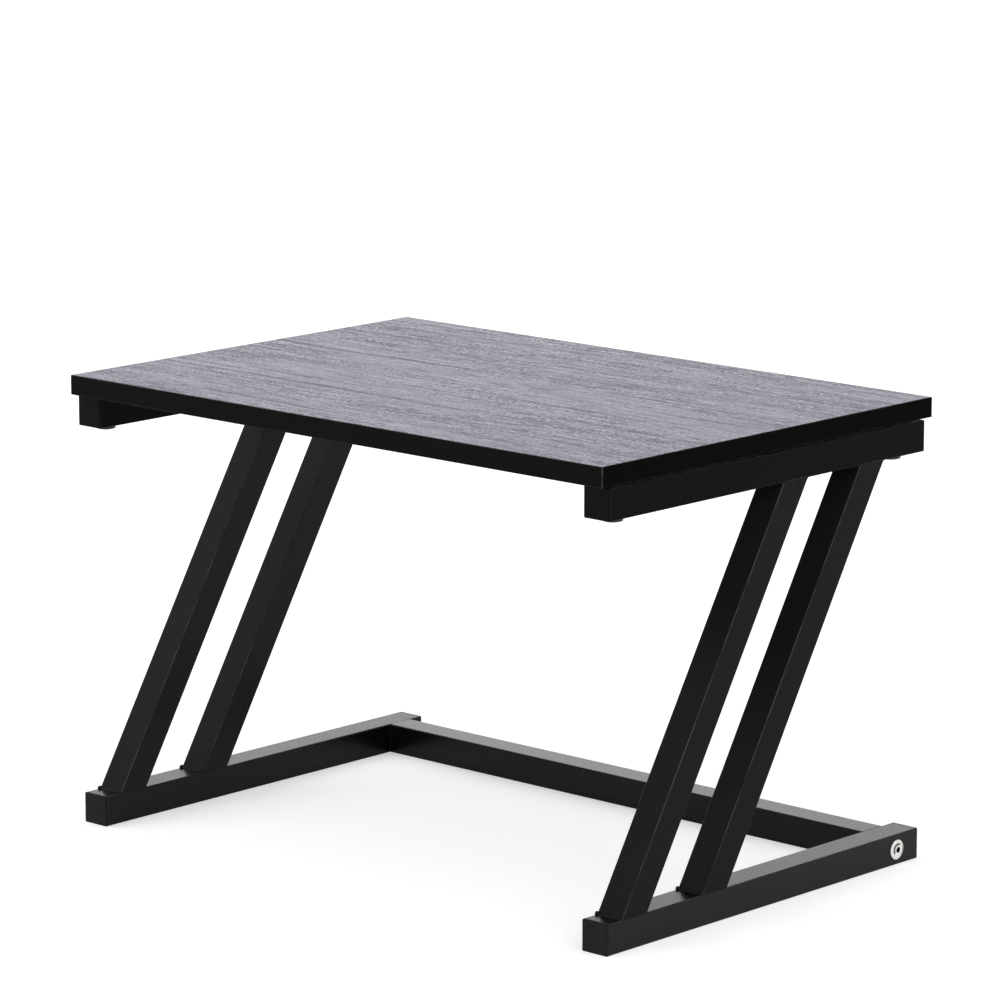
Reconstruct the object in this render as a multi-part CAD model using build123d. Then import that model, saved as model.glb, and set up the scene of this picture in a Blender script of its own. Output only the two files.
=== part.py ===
from build123d import *
import math
import os

# Microwave rack: a board on two Z-shaped side frames of square tube, tied by a low bar at the
# rear. All sizes are in millimetres. X runs along the board, Y from front to rear and Z up.
# The origin is on the floor, under the middle of the board.

# Whole rack
rack_height = 373.0  # floor to the top of the board

# Board
panel_width = 570.0
panel_depth = 392.0
panel_thickness = 16.0
band_thickness = 1.0
band_round = 0.4  # trimmed outer edges of the edge bands

# Square tube, the same for every bar
tube_size = 25.0
tube_wall = 1.2
tube_corner = 1.0  # outside corner radius
least_bore_corner = 0.1  # inside corner radius where the wall is as thick as the outside one

# Rails: two on the floor and two under the board, all alike
rail_front_setback = 8.0  # front edge of the board to the front ends of the rails
rail_rear_setback = 9.0  # rear edge of the board to the rear ends of the rails

# Struts: two a side, leaning back between a foot rail and a top rail
strut_setback = 17.0  # front end of the foot rail to the front strut
strut_pitch = 93.0  # front strut to rear strut
rail_tail = 51.0  # rear strut to the rear end of the top rail
weld_leg = 2.0  # bead on a rail, in front of a strut and behind it
weld_side = 0.4  # bead standing proud of the sides of the tubes
weld_round = 0.9  # rounding of a bead's edge, as a share of its leg

# Bolts, all with a domed head and a hex socket
bolt_diameter = 6.0
bolt_clearance = 0.3  # round a bolt in a drilled hole, each side
thread_gap = 0.1  # round a bolt in a threaded hole, each side
bolt_chamfer = 0.8
head_diameter = 16.0
head_dome = 1.4  # rise of the dome above the straight edge of the head
panel_head_edge = 2.8  # straight edge of a panel bolt's head
cross_bar_head_edge = 0.6  # straight edge of a cross bar bolt's head
socket_across_flats = 4.0
socket_depth = 3.0

# Panel bolts and the threaded inserts that they reach. The flanges of the inserts hold the board
# just clear of the top rails.
panel_bolt_front = 18.0  # front end of the top rail to the front bolts
panel_bolt_rear = 27.0  # rear end of the top rail to the rear bolts
insert_cover = 3.0  # board left above the hole of an insert
insert_end_gap = 1.0  # empty end of that hole
insert_diameter = 10.0  # over the ridges
insert_ridge = 0.8  # height of a ridge
insert_fit = 0.1  # round the ridges, each side
insert_ridge_count = 4
insert_flange_diameter = 14.0
insert_flange_thickness = 1.2  # also the gap between the board and the top rails
bolt_end_gap = 2.0  # tip of a panel bolt to the end of its insert

# End plugs
plug_head = 2.4  # the part that covers the end of the tube
plug_round = 0.8  # outer edge of the head
plug_seam_round = 0.3  # edge of the head that lies against the tube
plug_wall = 1.5
plug_fin = 1.0  # how far a fin stands out from the body of the plug
plug_fin_thickness = 1.0
plug_fin_count = 3
plug_fit = 0.1  # fins to the inside of the tube, each side
plug_bolt_gap = 4.0  # inner end of a plug to the nearest bolt

# Rear cross bar
cross_bar_inset = 27.0  # rear ends of the foot rails to the middle of the bar
plate_thickness = 3.0  # plate welded into each end of the bar
plate_fit = 0.1  # plate to the inside of the tube, each side
nut_across_flats = 10.0
nut_height = 5.0
bolt_past_nut = 7.0

# Worked out from the sizes above
tube_bore = tube_size - 2 * tube_wall
bore_corner = max(tube_corner - tube_wall, least_bore_corner)
panel_underside = rack_height - panel_thickness
top_rail_top = panel_underside - insert_flange_thickness
top_rail_z = top_rail_top - tube_size / 2
foot_rail_z = tube_size / 2
strut_top = top_rail_top - tube_size
strut_height = strut_top - tube_size
rail_x = (panel_width - tube_size) / 2
rail_front = rail_front_setback - panel_depth / 2
rail_rear = panel_depth / 2 - rail_rear_setback
rail_length = rail_rear - rail_front  # over both end plugs

# A strut takes up this length of rail, from the front of its foot to the rear of its top, which
# sets how far it leans from upright.
strut_room = rail_length - strut_setback - strut_pitch - rail_tail
strut_diagonal = math.hypot(strut_room, strut_height)
strut_lean = math.acos(tube_size / strut_diagonal) - math.atan2(strut_height, strut_room)
strut_run = strut_height * math.tan(strut_lean)
strut_footprint = tube_size / math.cos(strut_lean)
front_foot_y = rail_front + strut_setback + strut_footprint / 2
strut_foot_ys = {"front": front_foot_y, "rear": front_foot_y + strut_pitch}

panel_bolt_ys = {"front": rail_front + panel_bolt_front, "rear": rail_rear - panel_bolt_rear}
insert_hole_depth = panel_thickness - insert_cover
insert_length = insert_hole_depth - insert_end_gap
panel_bolt_length = tube_size + insert_flange_thickness + insert_length - bolt_end_gap

cross_bar_y = rail_rear - cross_bar_inset
cross_bar_length = panel_width - 2 * tube_size
cross_bar_bolt_length = tube_size + plate_thickness + nut_height + bolt_past_nut

nearest_bolt = min(panel_bolt_front, panel_bolt_rear, cross_bar_inset)
plug_reach = nearest_bolt - bolt_diameter / 2 - plug_bolt_gap

sides = {"left": -1, "right": 1}
to_the_rear = Rot(-90, 0, 0)  # turns +Z to the rear
to_the_front = Rot(90, 0, 0)  # turns +Z to the front


def square_block(length):
    return extrude(RectangleRounded(tube_size, tube_size, tube_corner), length)


def square_tube(length):
    bore = extrude(RectangleRounded(tube_bore, tube_bore, bore_corner), length)
    return square_block(length) - bore


def drilled_hole():
    """Long enough to pass through both walls of a tube."""
    return Cylinder(bolt_diameter / 2 + bolt_clearance, 2 * tube_size)


def rail_tube():
    """Tube of a rail between its plugs, on the rack's middle plane at z = 0."""
    return Pos(0, rail_front + plug_head, 0) * to_the_rear * square_tube(rail_length - 2 * plug_head)


def top_rail():
    rail = rail_tube()
    for y in panel_bolt_ys.values():
        rail -= Pos(0, y, 0) * drilled_hole()
    return Pos(0, 0, top_rail_z) * rail


def foot_rail():
    rail = rail_tube() - Pos(0, cross_bar_y, 0) * Rot(0, 90, 0) * drilled_hole()
    return Pos(0, 0, foot_rail_z) * rail


def leaning(bar_maker):
    """A bar that leans as the struts do, with its axis through the origin."""
    half_length = strut_height / math.cos(strut_lean) + tube_size
    bar = Pos(0, 0, -half_length) * bar_maker(2 * half_length)
    return Rot(-math.degrees(strut_lean), 0, 0) * bar


def strut():
    """Middle of the foot at the origin."""
    between_rails = Box(2 * tube_size, 2 * rail_length, strut_height)
    return leaning(square_tube) & Pos(0, 0, strut_height / 2) * between_rails


def weld_bead():
    """Seam round the foot of a strut, with the middle of the foot at the origin."""
    outline_width = tube_size + 2 * weld_side
    outline_length = strut_footprint + 2 * weld_leg
    outline = RectangleRounded(outline_width, outline_length, tube_corner + weld_leg)
    bead = Pos(0, 0, -weld_leg) * extrude(outline, 2 * weld_leg)
    faces = bead.faces().sort_by(Axis.Z)
    bead = fillet(faces[0].edges() + faces[-1].edges(), weld_round * weld_leg)
    rail = Pos(0, -rail_length / 2, -tube_size / 2) * to_the_rear * square_block(rail_length)
    return bead - leaning(square_block) - rail


def end_plug():
    """Outer face at z = 0, body towards +Z."""
    head = extrude(RectangleRounded(tube_size, tube_size, tube_corner), plug_head)
    head = fillet(head.faces().sort_by(Axis.Z)[0].edges(), plug_round)
    head = fillet(head.faces().sort_by(Axis.Z)[-1].edges(), plug_seam_round)
    fin_size = tube_bore - 2 * plug_fit
    body_size = fin_size - 2 * plug_fin
    hollow_size = body_size - 2 * plug_wall
    body_length = plug_reach - plug_head
    body = extrude(RectangleRounded(body_size, body_size, bore_corner), body_length)
    fin = extrude(RectangleRounded(fin_size, fin_size, bore_corner), plug_fin_thickness)
    for number in range(plug_fin_count):
        body += Pos(0, 0, body_length * (number + 0.5) / plug_fin_count) * fin
    body -= extrude(RectangleRounded(hollow_size, hollow_size, bore_corner), body_length)
    return head + Pos(0, 0, plug_head) * body


def domed_bolt(length, head_edge):
    """Seat of the head at z = 0, shank towards +Z."""
    head_height = head_edge + head_dome
    head_radius = head_diameter / 2
    dome_radius = (head_radius**2 + head_dome**2) / (2 * head_dome)
    head = Pos(0, 0, -head_height / 2) * Cylinder(head_radius, head_height)
    head &= Pos(0, 0, dome_radius - head_height) * Sphere(dome_radius)
    socket = extrude(RegularPolygon(socket_across_flats / 2, 6, major_radius=False), socket_depth)
    shank = Pos(0, 0, length / 2) * Cylinder(bolt_diameter / 2, length)
    shank = chamfer(shank.edges().sort_by(Axis.Z)[-1], bolt_chamfer)
    return head + shank - Pos(0, 0, -head_height) * socket


def threaded_hole():
    """Long enough to pass through an insert or a nut."""
    return Cylinder(bolt_diameter / 2 + thread_gap, 2 * tube_size)


def panel_insert():
    """Top of the flange at z = 0, body towards +Z."""
    core_radius = insert_diameter / 2 - insert_ridge
    ridge_pitch = insert_length / insert_ridge_count
    insert = Pos(0, 0, insert_length / 2) * Cylinder(core_radius, insert_length)
    for number in range(insert_ridge_count):
        ridge = Cylinder(insert_diameter / 2, ridge_pitch / 2)
        insert += Pos(0, 0, ridge_pitch * (number + 0.5)) * ridge
    flange = Cylinder(insert_flange_diameter / 2, insert_flange_thickness)
    insert += Pos(0, 0, -insert_flange_thickness / 2) * flange
    return insert - threaded_hole()


def panel_core():
    core = Box(panel_width - 2 * band_thickness, panel_depth - 2 * band_thickness, panel_thickness)
    core = Pos(0, 0, panel_underside + panel_thickness / 2) * core
    hole = Cylinder(insert_diameter / 2 + insert_fit, insert_hole_depth)
    for side in sides.values():
        for y in panel_bolt_ys.values():
            core -= Pos(side * rail_x, y, panel_underside + insert_hole_depth / 2) * hole
    return core


def edge_bands():
    """The front and rear bands cover the ends of the left and right ones."""
    board = Box(panel_width, panel_depth, panel_thickness)
    board = fillet(board.edges(), min(band_round, band_thickness))
    long_band = Box(panel_width, band_thickness, panel_thickness)
    short_band = Box(band_thickness, panel_depth - 2 * band_thickness, panel_thickness)
    long_y = (panel_depth - band_thickness) / 2
    short_x = (panel_width - band_thickness) / 2
    bands = {
        "front": Pos(0, -long_y, 0) * long_band,
        "rear": Pos(0, long_y, 0) * long_band,
        "left": Pos(-short_x, 0, 0) * short_band,
        "right": Pos(short_x, 0, 0) * short_band,
    }
    place = Pos(0, 0, panel_underside + panel_thickness / 2)
    return {f"edge_band_{name}": place * (board & band) for name, band in bands.items()}


def rear_cross_bar():
    return cross_bar_end(-1, cross_bar_length / 2) * square_tube(cross_bar_length)


def cross_bar_end(side, x):
    """Place on the bar's axis from which +Z points to the middle of the rack."""
    return Pos(side * x, cross_bar_y, foot_rail_z) * Rot(0, -90 * side, 0)


def cross_bar_plate():
    plate_size = tube_bore - 2 * plate_fit
    plate = extrude(RectangleRounded(plate_size, plate_size, bore_corner), plate_thickness)
    return plate - drilled_hole()


def cross_bar_nut():
    nut = extrude(RegularPolygon(nut_across_flats / 2, 6, major_radius=False), nut_height)
    return nut - threaded_hole()


def board_nodes():
    return {"panel_core": panel_core(), **edge_bands()}


def side_frame_nodes():
    """Each sub-part is made once and placed wherever it repeats."""
    made = {"top_rail": top_rail(), "foot_rail": foot_rail()}
    leg = strut()
    bead = weld_bead()
    plug = end_plug()
    nodes = {}
    for side_name, side in sides.items():
        for name, rail in made.items():
            nodes[f"{name}_{side_name}"] = Pos(side * rail_x, 0, 0) * rail
        for name, z in {"top_plug": top_rail_z, "foot_plug": foot_rail_z}.items():
            front = Pos(side * rail_x, rail_front, z) * to_the_rear
            rear = Pos(side * rail_x, rail_rear, z) * to_the_front
            nodes[f"{name}_front_{side_name}"] = front * plug
            nodes[f"{name}_rear_{side_name}"] = rear * plug
        for name, y in strut_foot_ys.items():
            foot = Pos(side * rail_x, y, tube_size)
            top = Pos(side * rail_x, y + strut_run, strut_top) * Rot(180, 0, 0)
            nodes[f"{name}_strut_{side_name}"] = foot * leg
            nodes[f"{name}_strut_foot_weld_{side_name}"] = foot * bead
            nodes[f"{name}_strut_top_weld_{side_name}"] = top * bead
    return nodes


def panel_fastener_nodes():
    bolt = domed_bolt(panel_bolt_length, panel_head_edge)
    insert = panel_insert()
    nodes = {}
    for side_name, side in sides.items():
        for position, y in panel_bolt_ys.items():
            nodes[f"panel_bolt_{position}_{side_name}"] = Pos(side * rail_x, y, strut_top) * bolt
            insert_place = Pos(side * rail_x, y, panel_underside)
            nodes[f"panel_insert_{position}_{side_name}"] = insert_place * insert
    return nodes


def cross_bar_nodes():
    plate = cross_bar_plate()
    nut = cross_bar_nut()
    bolt = domed_bolt(cross_bar_bolt_length, cross_bar_head_edge)
    half_length = cross_bar_length / 2
    nodes = {"rear_cross_bar": rear_cross_bar()}
    for side_name, side in sides.items():
        nodes[f"cross_bar_plate_{side_name}"] = cross_bar_end(side, half_length) * plate
        nut_place = cross_bar_end(side, half_length - plate_thickness)
        nodes[f"cross_bar_nut_{side_name}"] = nut_place * nut
        nodes[f"cross_bar_bolt_{side_name}"] = cross_bar_end(side, panel_width / 2) * bolt
    return nodes


nodes = {**board_nodes(), **side_frame_nodes(), **panel_fastener_nodes(), **cross_bar_nodes()}
os.makedirs("parts", exist_ok=True)
for name, shape in nodes.items():
    export_step(shape, f"parts/{name}.step")
print(len(nodes), "nodes, struts lean", round(math.degrees(strut_lean), 2), "degrees")
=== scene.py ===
import bpy
import math
from mathutils import Matrix, Vector


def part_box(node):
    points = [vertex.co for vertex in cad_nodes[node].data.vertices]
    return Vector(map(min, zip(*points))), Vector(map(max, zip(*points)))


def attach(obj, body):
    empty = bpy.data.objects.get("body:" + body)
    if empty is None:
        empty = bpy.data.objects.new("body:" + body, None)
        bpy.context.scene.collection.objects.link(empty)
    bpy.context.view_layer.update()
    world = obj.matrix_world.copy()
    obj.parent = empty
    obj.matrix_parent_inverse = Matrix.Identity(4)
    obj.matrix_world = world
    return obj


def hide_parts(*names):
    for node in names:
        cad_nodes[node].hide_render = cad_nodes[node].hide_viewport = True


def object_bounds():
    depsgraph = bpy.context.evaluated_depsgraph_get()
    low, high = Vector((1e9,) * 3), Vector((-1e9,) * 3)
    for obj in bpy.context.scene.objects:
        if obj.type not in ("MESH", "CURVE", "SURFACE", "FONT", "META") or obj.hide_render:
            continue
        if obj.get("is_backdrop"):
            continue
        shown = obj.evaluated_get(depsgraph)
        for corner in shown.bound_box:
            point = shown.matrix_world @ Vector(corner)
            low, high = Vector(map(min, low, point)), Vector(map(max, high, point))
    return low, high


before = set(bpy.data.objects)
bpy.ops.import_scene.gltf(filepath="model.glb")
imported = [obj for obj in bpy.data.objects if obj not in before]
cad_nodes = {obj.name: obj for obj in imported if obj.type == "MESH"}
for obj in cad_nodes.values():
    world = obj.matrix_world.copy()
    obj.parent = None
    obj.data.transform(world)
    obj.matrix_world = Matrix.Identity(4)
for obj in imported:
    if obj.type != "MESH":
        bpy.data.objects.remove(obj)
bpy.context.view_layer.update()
bpy.ops.object.select_all(action="DESELECT")

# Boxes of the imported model's nodes. All lengths are in metres.
board_low, board_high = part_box("panel_core")
foot_low, foot_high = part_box("foot_rail_right")
top_low, top_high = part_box("top_rail_right")
leg_low, leg_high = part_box("front_strut_right")
rear_leg_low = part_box("rear_strut_right")[0]
bar_low, bar_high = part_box("rear_cross_bar")

# Places and sizes that follow from them
board_middle_z = (board_high.z + board_low.z) / 2
board_half_height = (board_high.z - board_low.z) / 2
banded_half_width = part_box("edge_band_right")[1].x
tube = foot_high.z - foot_low.z
rail_x = (foot_low.x + foot_high.x) / 2
rail_half_length = (foot_high.y - foot_low.y) / 2
rail_middle_y = (foot_high.y + foot_low.y) / 2
foot_rail_z = (foot_low.z + foot_high.z) / 2
top_rail_z = (top_low.z + top_high.z) / 2
leg_foot_z, leg_top_z = leg_low.z, leg_high.z

# The struts lean back. Their width across the floor and their lean follow from their box.
leg_height = leg_top_z - leg_foot_z
leg_depth = leg_high.y - leg_low.y
leg_diagonal = math.hypot(leg_depth, leg_height)
lean = math.acos(tube / leg_diagonal) - math.atan2(leg_height, leg_depth)
foot_length = tube / math.cos(lean)
leg_run = leg_depth - foot_length
front_leg_y = leg_low.y + foot_length / 2
rear_leg_y = rear_leg_low.y + foot_length / 2

# The outside corner radius of the tubes, the same as in the solids
tube_corner = 0.001

# Turns that bring an axis of the rack to Z
quarter = math.pi / 2
from_x = (0.0, -quarter, 0.0)
from_y = (quarter, 0.0, 0.0)
upright = (0.0, 0.0, 0.0)

# The range that most of a noise lies in
most = (0.3, 0.7)


# Laying out shader nodes

class Nodes:
    """A tree of shader nodes that are put down and joined one by one."""

    def __init__(self, tree):
        self.tree = tree
        self.tree.nodes.clear()

    def put(self, socket, value):
        """Joins a socket to another node, or gives it a fixed value."""
        if isinstance(value, bpy.types.NodeSocket):
            self.tree.links.new(value, socket)
        else:
            socket.default_value = value

    def node(self, kind, sockets=None, **settings):
        made = self.tree.nodes.new(kind)
        for name, value in settings.items():
            setattr(made, name, value)
        for name, value in (sockets or {}).items():
            self.put(made.inputs[name], value)
        return made

    def math(self, operation, *values):
        made = self.node("ShaderNodeMath", dict(enumerate(values)), operation=operation)
        return made.outputs[0]

    def product(self, first, second):
        return self.math("MULTIPLY", first, second)

    def add_share(self, value, share, base):
        """The base with a share of the value added to it."""
        return self.math("MULTIPLY_ADD", value, share, base)

    def between(self, value, low, high, to_low=0.0, to_high=1.0, eased=True):
        """Takes low..high to to_low..to_high and holds it there."""
        sockets = {"Value": value, "From Min": low, "From Max": high, "To Min": to_low, "To Max": to_high}
        kind = "SMOOTHSTEP" if eased else "LINEAR"
        return self.node("ShaderNodeMapRange", sockets, interpolation_type=kind).outputs[0]

    def white_to_the_eye(self):
        """1 for what the camera sees, straight or in a reflection or through glass, and 0 for light."""
        path = self.node("ShaderNodeLightPath")
        seen = self.math("MAXIMUM", path.outputs["Is Camera Ray"], path.outputs["Is Glossy Ray"])
        return self.math("MAXIMUM", seen, path.outputs["Is Transmission Ray"])


class Finish(Nodes):
    """A new material. Its place is that of each point of a piece, in the rack's own metres."""

    def __init__(self, name):
        self.material = bpy.data.materials.new(name)
        self.material.use_nodes = True
        super().__init__(self.material.node_tree)
        self.place = self.node("ShaderNodeTexCoord").outputs["Object"]

    def turned(self, place, centre=(0, 0, 0), turn=(0, 0, 0), scale=(1, 1, 1)):
        """The place measured from a centre, then turned, then stretched."""
        moved = self.node("ShaderNodeMapping", {"Vector": place, "Location": [-c for c in centre]})
        sockets = {"Vector": moved.outputs[0], "Rotation": turn}
        rotated = self.node("ShaderNodeMapping", sockets)
        sockets = {"Vector": rotated.outputs[0], "Scale": scale}
        return self.node("ShaderNodeMapping", sockets).outputs[0]

    def axes(self, place):
        return self.node("ShaderNodeSeparateXYZ", {0: place}).outputs

    def length(self, place):
        return self.node("ShaderNodeVectorMath", {0: place}, operation="LENGTH").outputs["Value"]

    def noise(self, place, scale, detail=3.0, roughness=0.55):
        sockets = {"Vector": place, "Scale": scale, "Detail": detail, "Roughness": roughness}
        return self.node("ShaderNodeTexNoise", sockets).outputs["Fac"]

    def grain(self, place, scale, detail=3.0, roughness=0.55, centre=(0, 0, 0)):
        """Noise with a scale of its own along each axis. A centre of its own keeps it unlike others."""
        return self.noise(self.turned(place, centre, scale=scale), 1.0, detail, roughness)

    def blend(self, share, first, second):
        made = self.node("ShaderNodeMix", data_type="RGBA", blend_type="MIX")
        for number, value in zip((0, 6, 7), (share, first, second)):
            self.put(made.inputs[number], value)
        return made.outputs[2]

    def bump(self, height, distance, strength, normal=None):
        sockets = {"Height": height, "Distance": distance, "Strength": strength}
        if normal:
            sockets["Normal"] = normal
        return self.node("ShaderNodeBump", sockets).outputs[0]

    def done(self, colour, roughness, normal, **fixed):
        """Fixed values go straight onto the shader's own sockets."""
        shader = self.node("ShaderNodeBsdfPrincipled")
        self.put(shader.inputs["Base Color"], colour)
        self.put(shader.inputs["Roughness"], roughness)
        self.put(shader.inputs["Normal"], normal)
        for name, value in fixed.items():
            shader.inputs[name.replace("_", " ")].default_value = value
        self.node("ShaderNodeOutputMaterial", {"Surface": shader.outputs[0]})
        return self.material


def grey(value, blue=1.0):
    return (value, value, value * blue, 1.0)


def charcoal(value):
    """The board's own black, a little towards violet."""
    return (value, value * 0.96, value * 1.3, 1.0)


# Finishes

def powder_coat(name, centre, turn, cut_at, shine, tint, smoothest, roughest, painted_light_level, highlight_strength):
    """Satin black over a square tube, with the axis of the tube turned to Z. It is painted lighter along the
    rounded corners and in a line at the ends, which are cut at this distance from the centre: a painted
    highlight, in patches. Its base colour is scaled by painted_light_level, raised on some parts as
    painted light and lowered on others as painted shade. Shine is the strength of its reflection, and
    tint the share of it that a face seen straight on keeps."""
    round_start, round_end = 0.25, 0.62  # shares of the corner's radius
    cut_start, cut_end = 0.0008, 0.0003  # distances from the cut end
    cut_highlight_strength = 0.5
    least_highlight_strength = 0.3
    painted_highlight_sheen = -0.06
    finish = Finish(name)
    x, y, z = finish.axes(finish.turned(finish.place, centre, turn))
    nearer = finish.math("MINIMUM", finish.math("ABSOLUTE", x), finish.math("ABSOLUTE", y))
    along = finish.math("ABSOLUTE", z)
    flat = tube / 2 - tube_corner
    # Painted highlight: a lighter line along the rounded corners and at the cut ends, in patches, a little
    # less rough
    corner = finish.between(nearer, flat + round_start * tube_corner, flat + round_end * tube_corner)
    cut = finish.between(along, cut_at - cut_start, cut_at - cut_end, to_high=cut_highlight_strength)
    patches = finish.noise(finish.place, scale=34.0, detail=4.0)
    patchy_highlight = finish.between(patches, 0.36, 0.62, least_highlight_strength * highlight_strength, highlight_strength)
    painted_highlight = finish.product(finish.math("MAXIMUM", corner, cut), patchy_highlight)
    cloud = finish.noise(finish.place, scale=9.0, detail=2.0)
    speck = finish.noise(finish.place, scale=2600.0, detail=2.0, roughness=0.6)
    peel = finish.noise(finish.place, scale=420.0, detail=3.0, roughness=0.5)
    # painted_light_level scales the base colour: raised for painted light, lowered for painted shade, per
    # part
    colour = finish.blend(cloud, grey(0.0035 * painted_light_level, 1.05), grey(0.006 * painted_light_level, 1.1))
    colour = finish.blend(finish.between(speck, 0.62, 0.72), colour, grey(0.012 * painted_light_level))
    colour = finish.blend(painted_highlight, colour, grey(0.11, 1.02))
    roughness = finish.between(peel, *most, smoothest, roughest, eased=False)
    roughness = finish.add_share(painted_highlight, painted_highlight_sheen, roughness)
    normal = finish.bump(peel, distance=0.00006, strength=0.6)
    normal = finish.bump(speck, distance=0.00002, strength=0.5, normal=normal)
    return finish.done(colour, roughness, normal, Specular_IOR_Level=shine, Specular_Tint=grey(tint))


def weld_coat():
    """The same coat where it runs over a bead, a little thicker and glossier."""
    finish = Finish("powder_coat_on_weld")
    peel = finish.noise(finish.place, scale=700.0, detail=3.0)
    speck = finish.noise(finish.place, scale=3000.0, detail=2.0)
    colour = finish.blend(finish.between(peel, 0.35, 0.7), grey(0.005, 1.04), grey(0.011, 1.04))
    roughness = finish.between(peel, *most, 0.24, 0.36, eased=False)
    normal = finish.bump(peel, distance=0.00009, strength=0.7)
    normal = finish.bump(speck, distance=0.00002, strength=0.5, normal=normal)
    return finish.done(colour, roughness, normal, Specular_IOR_Level=0.1)


def board_laminate():
    """Charcoal wood grain, printed and pressed along the board: long growth lines that wander, short
    strokes, flecks, fine pores and a few dark lines, strong in some zones and faint in others."""
    wander_reach = 0.018
    growth_share, stroke_share, fleck_share = 0.85, 0.6, 1.3
    relief_mean = (growth_share + stroke_share + fleck_share) / 2
    relief_range = (1.13, 1.62)
    faintest, strongest = 0.5, 1.5
    glossiest, dullest = 0.14, 0.42
    pore_dullness, line_dullness = 0.15, 0.12
    finish = Finish("board_laminate")
    drift = finish.grain(finish.place, scale=(6.0, 12.0, 12.0))
    drift = finish.add_share(drift, wander_reach, -wander_reach / 2)
    wander = finish.node("ShaderNodeCombineXYZ", {"Y": drift}).outputs[0]
    wandered = finish.node("ShaderNodeVectorMath", {0: finish.place, 1: wander}, operation="ADD")
    place = wandered.outputs[0]
    broad = finish.grain(place, (2.0, 30.0, 30.0))
    growth = finish.grain(place, (7.0, 175.0, 175.0), 4.0, 0.6)
    stroke = finish.grain(place, (40.0, 230.0, 230.0), 4.0, 0.6, centre=(0.13, 0.31, 0.0))
    fine = finish.grain(place, (50.0, 600.0, 600.0), 3.0, 0.6, centre=(0.05, 0.21, 0.0))
    pore = finish.grain(place, (30.0, 420.0, 420.0), 3.0, 0.5, centre=(0.1, 0.3, 0.0))
    pore = finish.between(pore, 0.6, 0.68)
    line = finish.grain(place, (3.0, 120.0, 120.0), 2.0, 0.4, centre=(0.4, 0.1, 0.0))
    line = finish.between(line, 0.64, 0.7)
    fleck = finish.grain(place, (330.0, 380.0, 380.0), 3.0, 0.6, centre=(0.2, 0.1, 0.0))
    zone = finish.grain(place, (3.0, 20.0, 20.0), 2.0, centre=(0.3, 0.2, 0.0))
    zone = finish.between(zone, 0.38, 0.62, faintest, strongest)
    relief = finish.add_share(stroke, stroke_share, finish.product(growth, growth_share))
    relief = finish.add_share(fleck, fleck_share, relief)
    relief = finish.add_share(finish.math("SUBTRACT", relief, relief_mean), zone, relief_mean)
    print_tone = finish.between(relief, *relief_range)
    colour = finish.blend(print_tone, charcoal(0.003), charcoal(0.085))
    colour = finish.blend(finish.between(broad, *most, to_high=0.3), colour, charcoal(0.02))
    colour = finish.blend(finish.between(fine, 0.52, 0.66, to_high=0.4), colour, charcoal(0.12))
    colour = finish.blend(finish.product(pore, 0.8), colour, charcoal(0.002))
    colour = finish.blend(finish.product(line, 0.5), colour, charcoal(0.004))
    roughness = finish.between(relief, *relief_range, dullest, glossiest, eased=False)
    roughness = finish.add_share(pore, pore_dullness, roughness)
    roughness = finish.add_share(line, line_dullness, roughness)
    dents = finish.product(finish.math("MAXIMUM", pore, line), -1.0)
    normal = finish.bump(relief, distance=0.0006, strength=0.9)
    normal = finish.bump(fine, distance=0.00014, strength=0.6, normal=normal)
    normal = finish.bump(dents, distance=0.0002, strength=0.7, normal=normal)
    haze = dict(Sheen_Weight=0.2, Sheen_Roughness=0.4, Sheen_Tint=(0.5, 0.46, 1.0, 1.0))
    return finish.done(colour, roughness, normal, Specular_IOR_Level=0.6, **haze)


def edge_band(name, along_x, darkest, lightest, shine):
    """Black banding with a fine grain along it, painted lighter along its top and bottom edges: a painted
    highlight, in patches. The bands along X also get a stronger lighter line, the trimmed seam, at the
    corners of the board, where they cover the ends of the others."""
    edge_line_start, edge_line_end = 0.0007, 0.0003  # distances from the edge
    edge_highlight_share, seam_share = 0.3, 0.9
    finish = Finish(name)
    stretch = (14.0, 700.0, 700.0) if along_x else (700.0, 14.0, 700.0)
    grain = finish.grain(finish.place, stretch, 4.0, 0.6)
    patches = finish.noise(finish.place, scale=45.0, detail=3.0)
    x, y, z = finish.axes(finish.place)
    # Painted highlight along the top and bottom edges of the band
    off_middle = finish.math("ABSOLUTE", finish.math("SUBTRACT", z, board_middle_z))
    start, end = board_half_height - edge_line_start, board_half_height - edge_line_end
    edge_highlight_and_seam = finish.between(off_middle, start, end, to_high=edge_highlight_share)
    # A lighter trimmed seam line at the board's corners
    if along_x:
        start, end = banded_half_width - edge_line_start, banded_half_width - edge_line_end
        corner = finish.between(finish.math("ABSOLUTE", x), start, end, to_high=seam_share)
        edge_highlight_and_seam = finish.math("MAXIMUM", edge_highlight_and_seam, corner)
    patchy_highlight_and_seam = finish.product(edge_highlight_and_seam, finish.between(patches, 0.38, 0.6, to_low=0.25))
    colour = finish.blend(finish.between(grain, 0.35, 0.7), grey(darkest), grey(lightest, 1.05))
    colour = finish.blend(patchy_highlight_and_seam, colour, grey(0.075, 1.03))
    roughness = finish.between(grain, *most, 0.42, 0.56, eased=False)
    normal = finish.bump(grain, distance=0.00005, strength=0.5)
    return finish.done(colour, roughness, normal, Specular_IOR_Level=shine)


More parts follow.
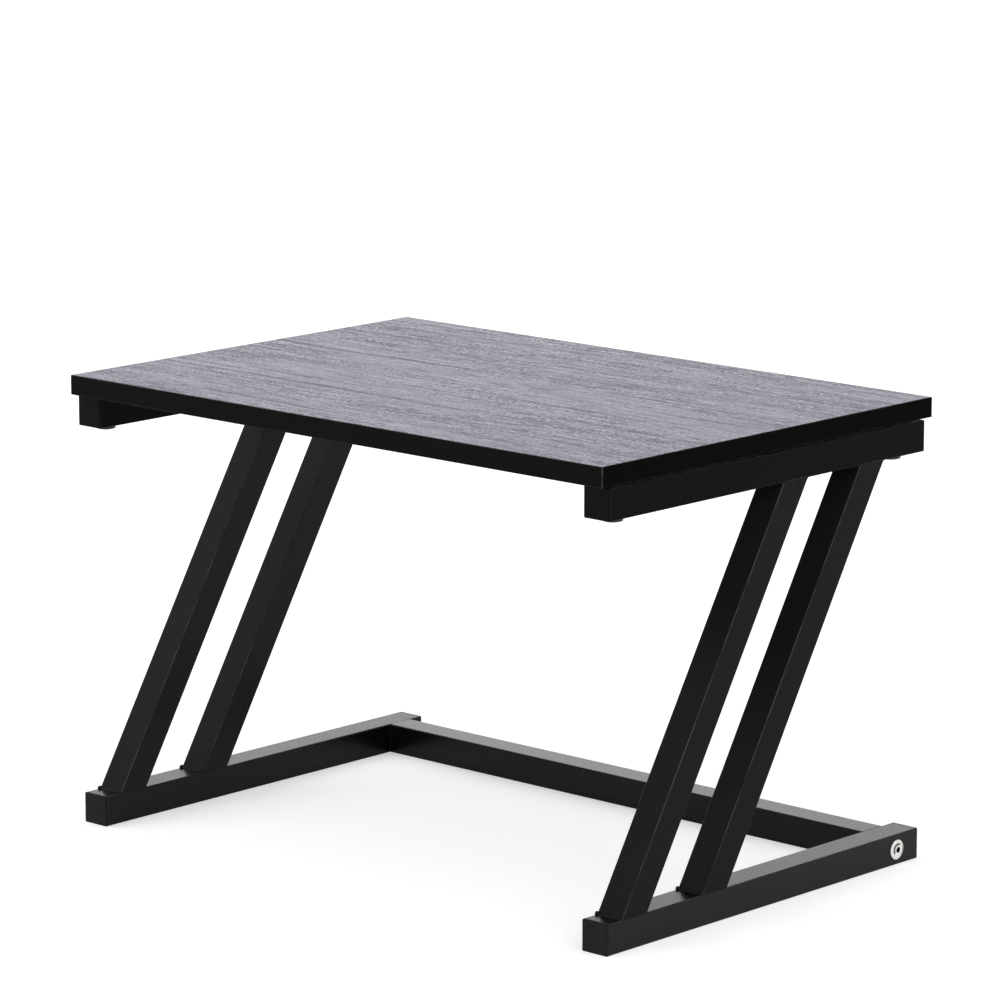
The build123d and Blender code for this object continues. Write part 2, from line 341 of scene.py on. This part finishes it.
def plug_plastic(name, centre, painted_light_level):
    """Moulded black plastic, spark-textured, with the mould's small round gate mark in the middle."""
    gate_radius = 0.0016
    gate_line = (0.0001, 0.0004)  # half widths of the mark's line, full and faded
    finish = Finish(name)
    spark = finish.noise(finish.place, scale=1900.0, detail=3.0, roughness=0.6)
    flow = finish.grain(finish.place, scale=(40.0, 40.0, 9.0))
    from_middle = finish.length(finish.turned(finish.place, centre, scale=(1, 0, 1)))
    off_gate = finish.math("ABSOLUTE", finish.math("SUBTRACT", from_middle, gate_radius))
    gate = finish.between(off_gate, *gate_line, 1.0, 0.0)
    # painted_light_level scales the base colour; on the top plugs under the board it is lowered as painted
    # shade
    colour = finish.blend(finish.between(flow, *most), grey(0.007 * painted_light_level), grey(0.012 * painted_light_level, 1.03))
    colour = finish.blend(finish.product(gate, 0.5), colour, grey(0.004))
    roughness = finish.between(spark, *most, 0.46, 0.62, eased=False)
    normal = finish.bump(spark, distance=0.00004, strength=0.7)
    normal = finish.bump(finish.product(gate, -1.0), distance=0.0001, strength=0.6, normal=normal)
    return finish.done(colour, roughness, normal, Specular_IOR_Level=0.1 * painted_light_level)


def fastener(name, centre, turn, head_height, dark, light, painted_dark, rough, metallic, shine):
    """A turned head with fine rings, a dark crescent round the socket, which is a painted dark reflection
    on the side facing up and forward in the rack, and a socket darkened as painted shade. The axis is
    turned to Z, with the seat of the head at zero. A spiral runs above the seat: the thread where
    the head lies below it, and marks of turning where the head lies above."""
    ring_pitch = 0.00035
    spiral_pitch = 0.001
    spiral_start, spiral_full = 0.0004, 0.0012  # above the seat
    crescent_radius = 0.0045
    crescent_line = (0.0005, 0.0013)  # half widths of the crescent, full and faded
    crescent_start, crescent_full = 0.001, 0.0045  # up and forward of the axis, added together
    crescent_share, crescent_raggedness = 0.92, 0.004
    socket_radius, socket_edge = 0.00235, 0.0025
    socket_start, socket_full = 0.0003, 0.0006  # above the lower face of a head below the seat
    rough_spread = 0.06
    scratch_dullness = 0.15
    finish = Finish(name)
    local = finish.turned(finish.place, centre, turn)
    x, y, z = finish.axes(local)
    radius = finish.length(finish.node("ShaderNodeCombineXYZ", {"X": x, "Y": y}).outputs[0])
    rings = finish.math("SINE", finish.product(radius, 2 * math.pi / ring_pitch))
    angle = finish.math("DIVIDE", finish.math("ARCTAN2", y, x), 2 * math.pi)
    turns = finish.math("DIVIDE", z, spiral_pitch)
    spiral = finish.math("PINGPONG", finish.math("ADD", turns, angle), 0.5)
    spiral = finish.product(spiral, finish.between(z, spiral_start, spiral_full))
    clouds = finish.noise(finish.place, scale=500.0, detail=4.0, roughness=0.6)
    scratch = finish.between(finish.grain(local, scale=(3000.0, 300.0, 900.0)), 0.6, 0.72)
    colour = finish.blend(finish.between(clouds, *most), dark, light)
    colour = finish.blend(finish.product(scratch, 0.4), colour, dark)
    # Painted dark reflection: a crescent round the socket, on the side of the head that faces up and forward
    # in the rack
    rack_x, rack_y, rack_z = finish.axes(finish.place)
    slant = finish.math("SUBTRACT", rack_z, rack_y)
    slant = finish.math("SUBTRACT", slant, centre[2] - centre[1])
    ragged = finish.noise(finish.place, scale=300.0, detail=3.0)
    slant = finish.add_share(ragged, crescent_raggedness, slant)
    off_ring = finish.math("ABSOLUTE", finish.math("SUBTRACT", radius, crescent_radius))
    crescent = finish.between(slant, crescent_start, crescent_full, to_high=crescent_share)
    crescent = finish.product(finish.between(off_ring, *crescent_line, 1.0, 0.0), crescent)
    colour = finish.blend(crescent, colour, painted_dark)
    # Painted shade inside the socket
    near_axis = finish.between(radius, socket_radius, socket_edge, 1.0, 0.0)
    in_socket = finish.between(z, socket_start - head_height, socket_full - head_height)
    colour = finish.blend(finish.product(near_axis, in_socket), colour, painted_dark)
    roughness = finish.between(clouds, *most, rough - rough_spread, rough + rough_spread, eased=False)
    roughness = finish.add_share(scratch, scratch_dullness, roughness)
    normal = finish.bump(spiral, distance=0.0006, strength=0.8)
    normal = finish.bump(rings, distance=0.000004, strength=0.5, normal=normal)
    normal = finish.bump(clouds, distance=0.00002, strength=0.3, normal=normal)
    return finish.done(colour, roughness, normal, Metallic=metallic, Specular_IOR_Level=shine)


def zinc_plate():
    """Zinc with the faint blue and yellow of its passivation."""
    blue_zinc, plain_zinc = (0.5, 0.52, 0.56, 1), (0.66, 0.66, 0.65, 1)
    yellow_zinc = (0.7, 0.64, 0.46, 1)
    finish = Finish("zinc_plate")
    cells = finish.node("ShaderNodeTexVoronoi", {"Vector": finish.place, "Scale": 900.0})
    spangle = finish.node("ShaderNodeSeparateColor", {0: cells.outputs["Color"]}).outputs[0]
    clouds = finish.noise(finish.place, scale=220.0, detail=3.0)
    colour = finish.blend(spangle, blue_zinc, plain_zinc)
    colour = finish.blend(finish.between(clouds, 0.4, 0.7, to_high=0.35), colour, yellow_zinc)
    roughness = finish.between(spangle, 0.0, 1.0, 0.28, 0.42, eased=False)
    normal = finish.bump(clouds, distance=0.00003, strength=0.4)
    return finish.done(colour, roughness, normal, Metallic=1.0)


def dress(node, material):
    """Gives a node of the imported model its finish."""
    piece = cad_nodes[node]
    if not piece.material_slots:
        piece.data.materials.append(None)
    for slot in piece.material_slots:
        slot.link = "OBJECT"
        slot.material = material


# The imported model's nodes

# painted_light_level scales the base colour of the one powder coat and the one plug plastic per part: the
# struts are painted paler as painted light, and the top rails and top plugs under the board darker as
# painted shade. highlight_strength sets the painted highlight along the tube corners.
leg_coat = dict(tint=1.0, smoothest=0.27, roughest=0.36, painted_light_level=2.2, highlight_strength=0.75)
leg_shine = {"left": 0.075, "right": 0.035}
top_rail_coat = dict(shine=0.03, tint=1.0, smoothest=0.3, roughest=0.4, painted_light_level=0.6, highlight_strength=0.2)
foot_rail_coat = dict(shine=0.3, tint=0.25, smoothest=0.2, roughest=0.28, painted_light_level=0.8, highlight_strength=0.5)
cross_bar_coat = dict(shine=0.45, tint=0.15, smoothest=0.18, roughest=0.25, painted_light_level=0.8, highlight_strength=0.5)
foot_plug_painted_light_level, top_plug_painted_light_level = 1.0, 0.5
bright = dict(dark=(0.6, 0.59, 0.57, 1), light=(0.86, 0.85, 0.83, 1), painted_dark=grey(0.05),
              rough=0.2, metallic=1.0, shine=0.5)
blackened = dict(dark=grey(0.008), light=grey(0.016), painted_dark=grey(0.003),
                 rough=0.4, metallic=0.0, shine=0.4)

# The welded ends of the struts get no painted highlight, so the coat's end line is put past them
leaning = (lean, 0.0, 0.0)
past_the_welds = leg_diagonal

sides = (("left", -1), ("right", 1))
rails = (("foot", foot_rail_z, foot_rail_coat, foot_plug_painted_light_level),
         ("top", top_rail_z, top_rail_coat, top_plug_painted_light_level))
legs = (("front", front_leg_y), ("rear", rear_leg_y))

dress("panel_core", board_laminate())
banding = edge_band("edge_band_along_x", True, darkest=0.002, lightest=0.0045, shine=0.04)
dress("edge_band_front", banding)
dress("edge_band_rear", banding)
# The side bands along Y get darker colours than the bands along X: a painted shade on the same banding
banding = edge_band("edge_band_along_y", False, darkest=0.0015, lightest=0.003, shine=0.012)
dress("edge_band_left", banding)
dress("edge_band_right", banding)

zinc = zinc_plate()
for side, outward in sides:
    x = outward * rail_x
    for level, z, coat_values, plug_painted_light_level in rails:
        name = f"powder_coat_{level}_rail_{side}"
        coat = powder_coat(name, (x, rail_middle_y, z), from_y, rail_half_length, **coat_values)
        dress(f"{level}_rail_{side}", coat)
        for end in ("front", "rear"):
            plug = f"{level}_plug_{end}_{side}"
            low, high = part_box(plug)
            dress(plug, plug_plastic(f"plastic_{plug}", (low + high) / 2, plug_painted_light_level))
    for end, y in legs:
        name = f"powder_coat_{end}_strut_{side}"
        foot = (x, y, leg_foot_z)
        coat = powder_coat(name, foot, leaning, past_the_welds, leg_shine[side], **leg_coat)
        dress(f"{end}_strut_{side}", coat)
        bolt = f"panel_bolt_{end}_{side}"
        low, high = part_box(bolt)
        seat = ((low.x + high.x) / 2, (low.y + high.y) / 2, leg_top_z)
        dress(bolt, fastener(f"black_{bolt}", seat, upright, leg_top_z - low.z, **blackened))
        dress(f"panel_insert_{end}_{side}", zinc)
    bolt = f"cross_bar_bolt_{side}"
    low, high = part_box(bolt)
    seat = (outward * (rail_x + tube / 2), (low.y + high.y) / 2, foot_rail_z)
    head_height = max(abs(low.x), abs(high.x)) - abs(seat[0])
    inward = (0.0, outward * -quarter, 0.0)
    dress(bolt, fastener(f"bright_{bolt}", seat, inward, head_height, **bright))
    dress(f"cross_bar_plate_{side}", zinc)
    dress(f"cross_bar_nut_{side}", zinc)

bar_middle = (bar_low + bar_high) / 2
bar_half_length = (bar_high.x - bar_low.x) / 2
coat = powder_coat("powder_coat_rear_cross_bar", bar_middle, from_x, bar_half_length, **cross_bar_coat)
dress("rear_cross_bar", coat)


# Weld beads, run by hand round both ends of every strut

def only(piece):
    bpy.ops.object.select_all(action="DESELECT")
    piece.select_set(True)
    bpy.context.view_layer.objects.active = piece


def apply_modifiers(*names):
    for name in names:
        bpy.ops.object.modifier_apply(modifier=name)


def weld_path():
    """A closed line round the foot of a strut, with the middle of the foot at the origin. It runs in
    the corner in front and behind, and drops into the groove at the two sides."""
    side_inset = 0.0006
    end_outset = 0.0004
    corner_radius, corner_segments = 0.0034, 5
    cuts = 4
    side_strip = 0.0012  # what counts as a side, inwards from the side of the tube
    side_drop = 0.0008
    side_narrowing = 0.94
    bpy.ops.mesh.primitive_plane_add(size=1.0, location=(0, 0, 0))
    path = bpy.context.object
    path.name = "weld_path"
    bpy.ops.object.mode_set(mode="EDIT")
    bpy.ops.transform.resize(value=(tube - 2 * side_inset, foot_length + 2 * end_outset, 1))
    bpy.ops.mesh.bevel(offset=corner_radius, segments=corner_segments, affect="VERTICES")
    bpy.ops.mesh.delete(type="ONLY_FACE")
    bpy.ops.mesh.select_all(action="SELECT")
    bpy.ops.mesh.subdivide(number_cuts=cuts)
    bpy.ops.mesh.select_all(action="DESELECT")
    bpy.ops.object.mode_set(mode="OBJECT")
    for point in path.data.vertices:
        point.select = abs(point.co.x) > tube / 2 - side_strip
    bpy.ops.object.mode_set(mode="EDIT")
    bpy.ops.transform.translate(value=(0, 0, -side_drop))
    bpy.ops.transform.resize(value=(side_narrowing, 1, 1))
    bpy.ops.object.mode_set(mode="OBJECT")
    only(path)
    bpy.ops.object.convert(target="CURVE")
    return bpy.context.object


def weld_bead():
    """Overlapping ripples along that line, with a lump at the corner where they meet, melted into
    one bead."""
    ripple_radius = 0.0016
    ripple_squeeze = (0.62, 1, 0.92)
    ripple_tilt = math.radians(-24)
    ripple_pitch = 0.00115
    lump_radius = 0.0021
    lump_in, lump_out, lump_up = 0.0008, 0.0006, 0.0004
    melt_grid = 0.00022
    path = weld_path()
    bpy.ops.mesh.primitive_uv_sphere_add(segments=14, ring_count=8, radius=ripple_radius, location=(0, 0, 0))
    bead = bpy.context.object
    bead.name = "weld_bead"
    bpy.ops.object.mode_set(mode="EDIT")
    bpy.ops.transform.resize(value=ripple_squeeze)
    bpy.ops.transform.rotate(value=ripple_tilt, orient_axis="Y", center_override=(0, 0, 0))
    bpy.ops.object.mode_set(mode="OBJECT")
    ripples = bead.modifiers.new("ripples", "ARRAY")
    ripples.fit_type = "FIT_CURVE"
    ripples.curve = path
    ripples.use_relative_offset = False
    ripples.use_constant_offset = True
    ripples.constant_offset_displace = (ripple_pitch, 0, 0)
    follow = bead.modifiers.new("round_the_strut", "CURVE")
    follow.object = path
    follow.deform_axis = "POS_X"
    melt = bead.modifiers.new("melted", "REMESH")
    melt.mode = "VOXEL"
    melt.voxel_size = melt_grid
    ease = bead.modifiers.new("eased", "SMOOTH")
    ease.factor = 0.5
    ease.iterations = 6
    only(bead)
    apply_modifiers("ripples", "round_the_strut")
    corner = (-tube / 2 + lump_in, -foot_length / 2 - lump_out, lump_up)
    bpy.ops.mesh.primitive_uv_sphere_add(segments=20, ring_count=12, radius=lump_radius, location=corner)
    bead.select_set(True)
    bpy.context.view_layer.objects.active = bead
    bpy.ops.object.join()
    apply_modifiers("melted", "eased")
    bpy.ops.object.shade_smooth()
    bpy.data.objects.remove(path)
    return bead


def bead_at(bead, name, place, turn):
    """Copies the bead to its place on a strut, and gives each copy a swell of its own."""
    only(bead)
    bpy.ops.object.duplicate(linked=False)
    run = bpy.context.object
    run.name = name
    run.location = place
    run.rotation_euler = turn
    bpy.ops.object.transform_apply(location=True, rotation=True, scale=True)
    swell = run.modifiers.new("uneven", "DISPLACE")
    swell.texture = unevenness
    swell.texture_coords = "GLOBAL"
    swell.strength = 0.0006
    swell.mid_level = 0.5
    apply_modifiers("uneven")
    return run


bead = weld_bead()
bead.data.materials.append(weld_coat())
unevenness = bpy.data.textures.new("bead_unevenness", "CLOUDS")
unevenness.noise_scale = 0.006
upside_down = (math.pi, 0.0, 0.0)
for side, outward in sides:
    x = outward * rail_x
    for end, y in legs:
        foot, top = (x, y, leg_foot_z), (x, y + leg_run, leg_top_z)
        for level, place, turn in (("foot", foot, upright), ("top", top, upside_down)):
            run = bead_at(bead, f"{end}_strut_{level}_bead_{side}", place, turn)
            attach(run, "root")
            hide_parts(f"{end}_strut_{level}_weld_{side}")
bpy.data.objects.remove(bead)


# Floor, light and camera

white = (1, 1, 1, 1)
pale = (0.86, 0.86, 0.86, 1)
floor_glow = 0.45
floor_size = 60.0
world_light = 0.8


def pale_floor():
    """Matt and pale, lifted to white for the eye only, and clear when seen from below."""
    finish = Finish("pale_floor")
    finish.material.use_backface_culling = False
    matte = finish.node("ShaderNodeBsdfDiffuse", {"Color": pale})
    lift = finish.product(finish.white_to_the_eye(), floor_glow)
    glow = finish.node("ShaderNodeEmission", {"Color": white, "Strength": lift})
    both = finish.node("ShaderNodeAddShader", {0: matte.outputs[0], 1: glow.outputs[0]})
    under = finish.node("ShaderNodeNewGeometry").outputs["Backfacing"]
    clear = finish.node("ShaderNodeBsdfTransparent")
    mixed = finish.node("ShaderNodeMixShader", {0: under, 1: both.outputs[0], 2: clear.outputs[0]})
    finish.node("ShaderNodeOutputMaterial", {"Surface": mixed.outputs[0]})
    return finish.material


bpy.ops.mesh.primitive_plane_add(size=floor_size, location=(0, 0, 0))
floor = bpy.context.object
floor.name = "floor"
floor.data.materials.append(pale_floor())
floor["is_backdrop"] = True

world = bpy.data.worlds.new("studio")
bpy.context.scene.world = world
world.use_nodes = True
sky = Nodes(world.node_tree)
strength = sky.between(sky.white_to_the_eye(), 0.0, 1.0, world_light, 1.0, eased=False)
backdrop = sky.node("ShaderNodeBackground", {"Color": white, "Strength": strength})
sky.node("ShaderNodeOutputWorld", {"Surface": backdrop.outputs[0]})


def softbox(name, place, aim, width, height, power):
    """A soft lamp that points at a spot on the rack."""
    bpy.ops.object.light_add(type="AREA", location=place)
    lamp = bpy.context.object
    lamp.name = name
    lamp.data.shape = "RECTANGLE"
    lamp.data.size = width
    lamp.data.size_y = height
    lamp.data.energy = power
    way = Vector(aim) - Vector(place)
    lamp.rotation_euler = way.to_track_quat("-Z", "Y").to_euler()
    lamp.visible_camera = False


softbox("softbox_left", (-1.6, -1.4, 2.2), aim=(0, 0, 0.2), width=1.8, height=1.8, power=9.0)
softbox("softbox_right", (2.2, 0.2, 1.8), aim=(0, 0, 0.2), width=1.6, height=1.6, power=6.0)
softbox("strip_behind", (-1.8, 2.0, 0.42), aim=(0, 0, 0.42), width=3.4, height=0.8, power=4.5)

# The camera was solved from the straight edges in the photograph
picture_width = 1000  # pixels
focal_length = 5003.0777  # pixels
film_width = 36.0  # millimetres
camera_place = (2.650381, -2.882718, 1.073869)
turn, rise, roll = 0.74267, 0.199928, 0.000734
bpy.ops.object.camera_add()
camera = bpy.context.object
camera.name = "camera"
camera.data.sensor_width = film_width
camera.data.lens = focal_length * film_width / picture_width
camera.data.clip_start = 0.1
camera.data.clip_end = 200.0
back = Vector((math.sin(turn) * math.cos(rise), -math.cos(turn) * math.cos(rise), math.sin(rise)))
right = Vector((math.cos(turn), math.sin(turn), 0))
up = back.cross(right)
rolled_right = right * math.cos(roll) + up * math.sin(roll)
rolled_up = up * math.cos(roll) - right * math.sin(roll)
facing = Matrix((rolled_right, rolled_up, back)).transposed().to_4x4()
camera.matrix_world = Matrix.Translation(camera_place) @ facing
bpy.context.scene.camera = camera
bpy.context.scene.view_settings.view_transform = "Standard"

low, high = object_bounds()
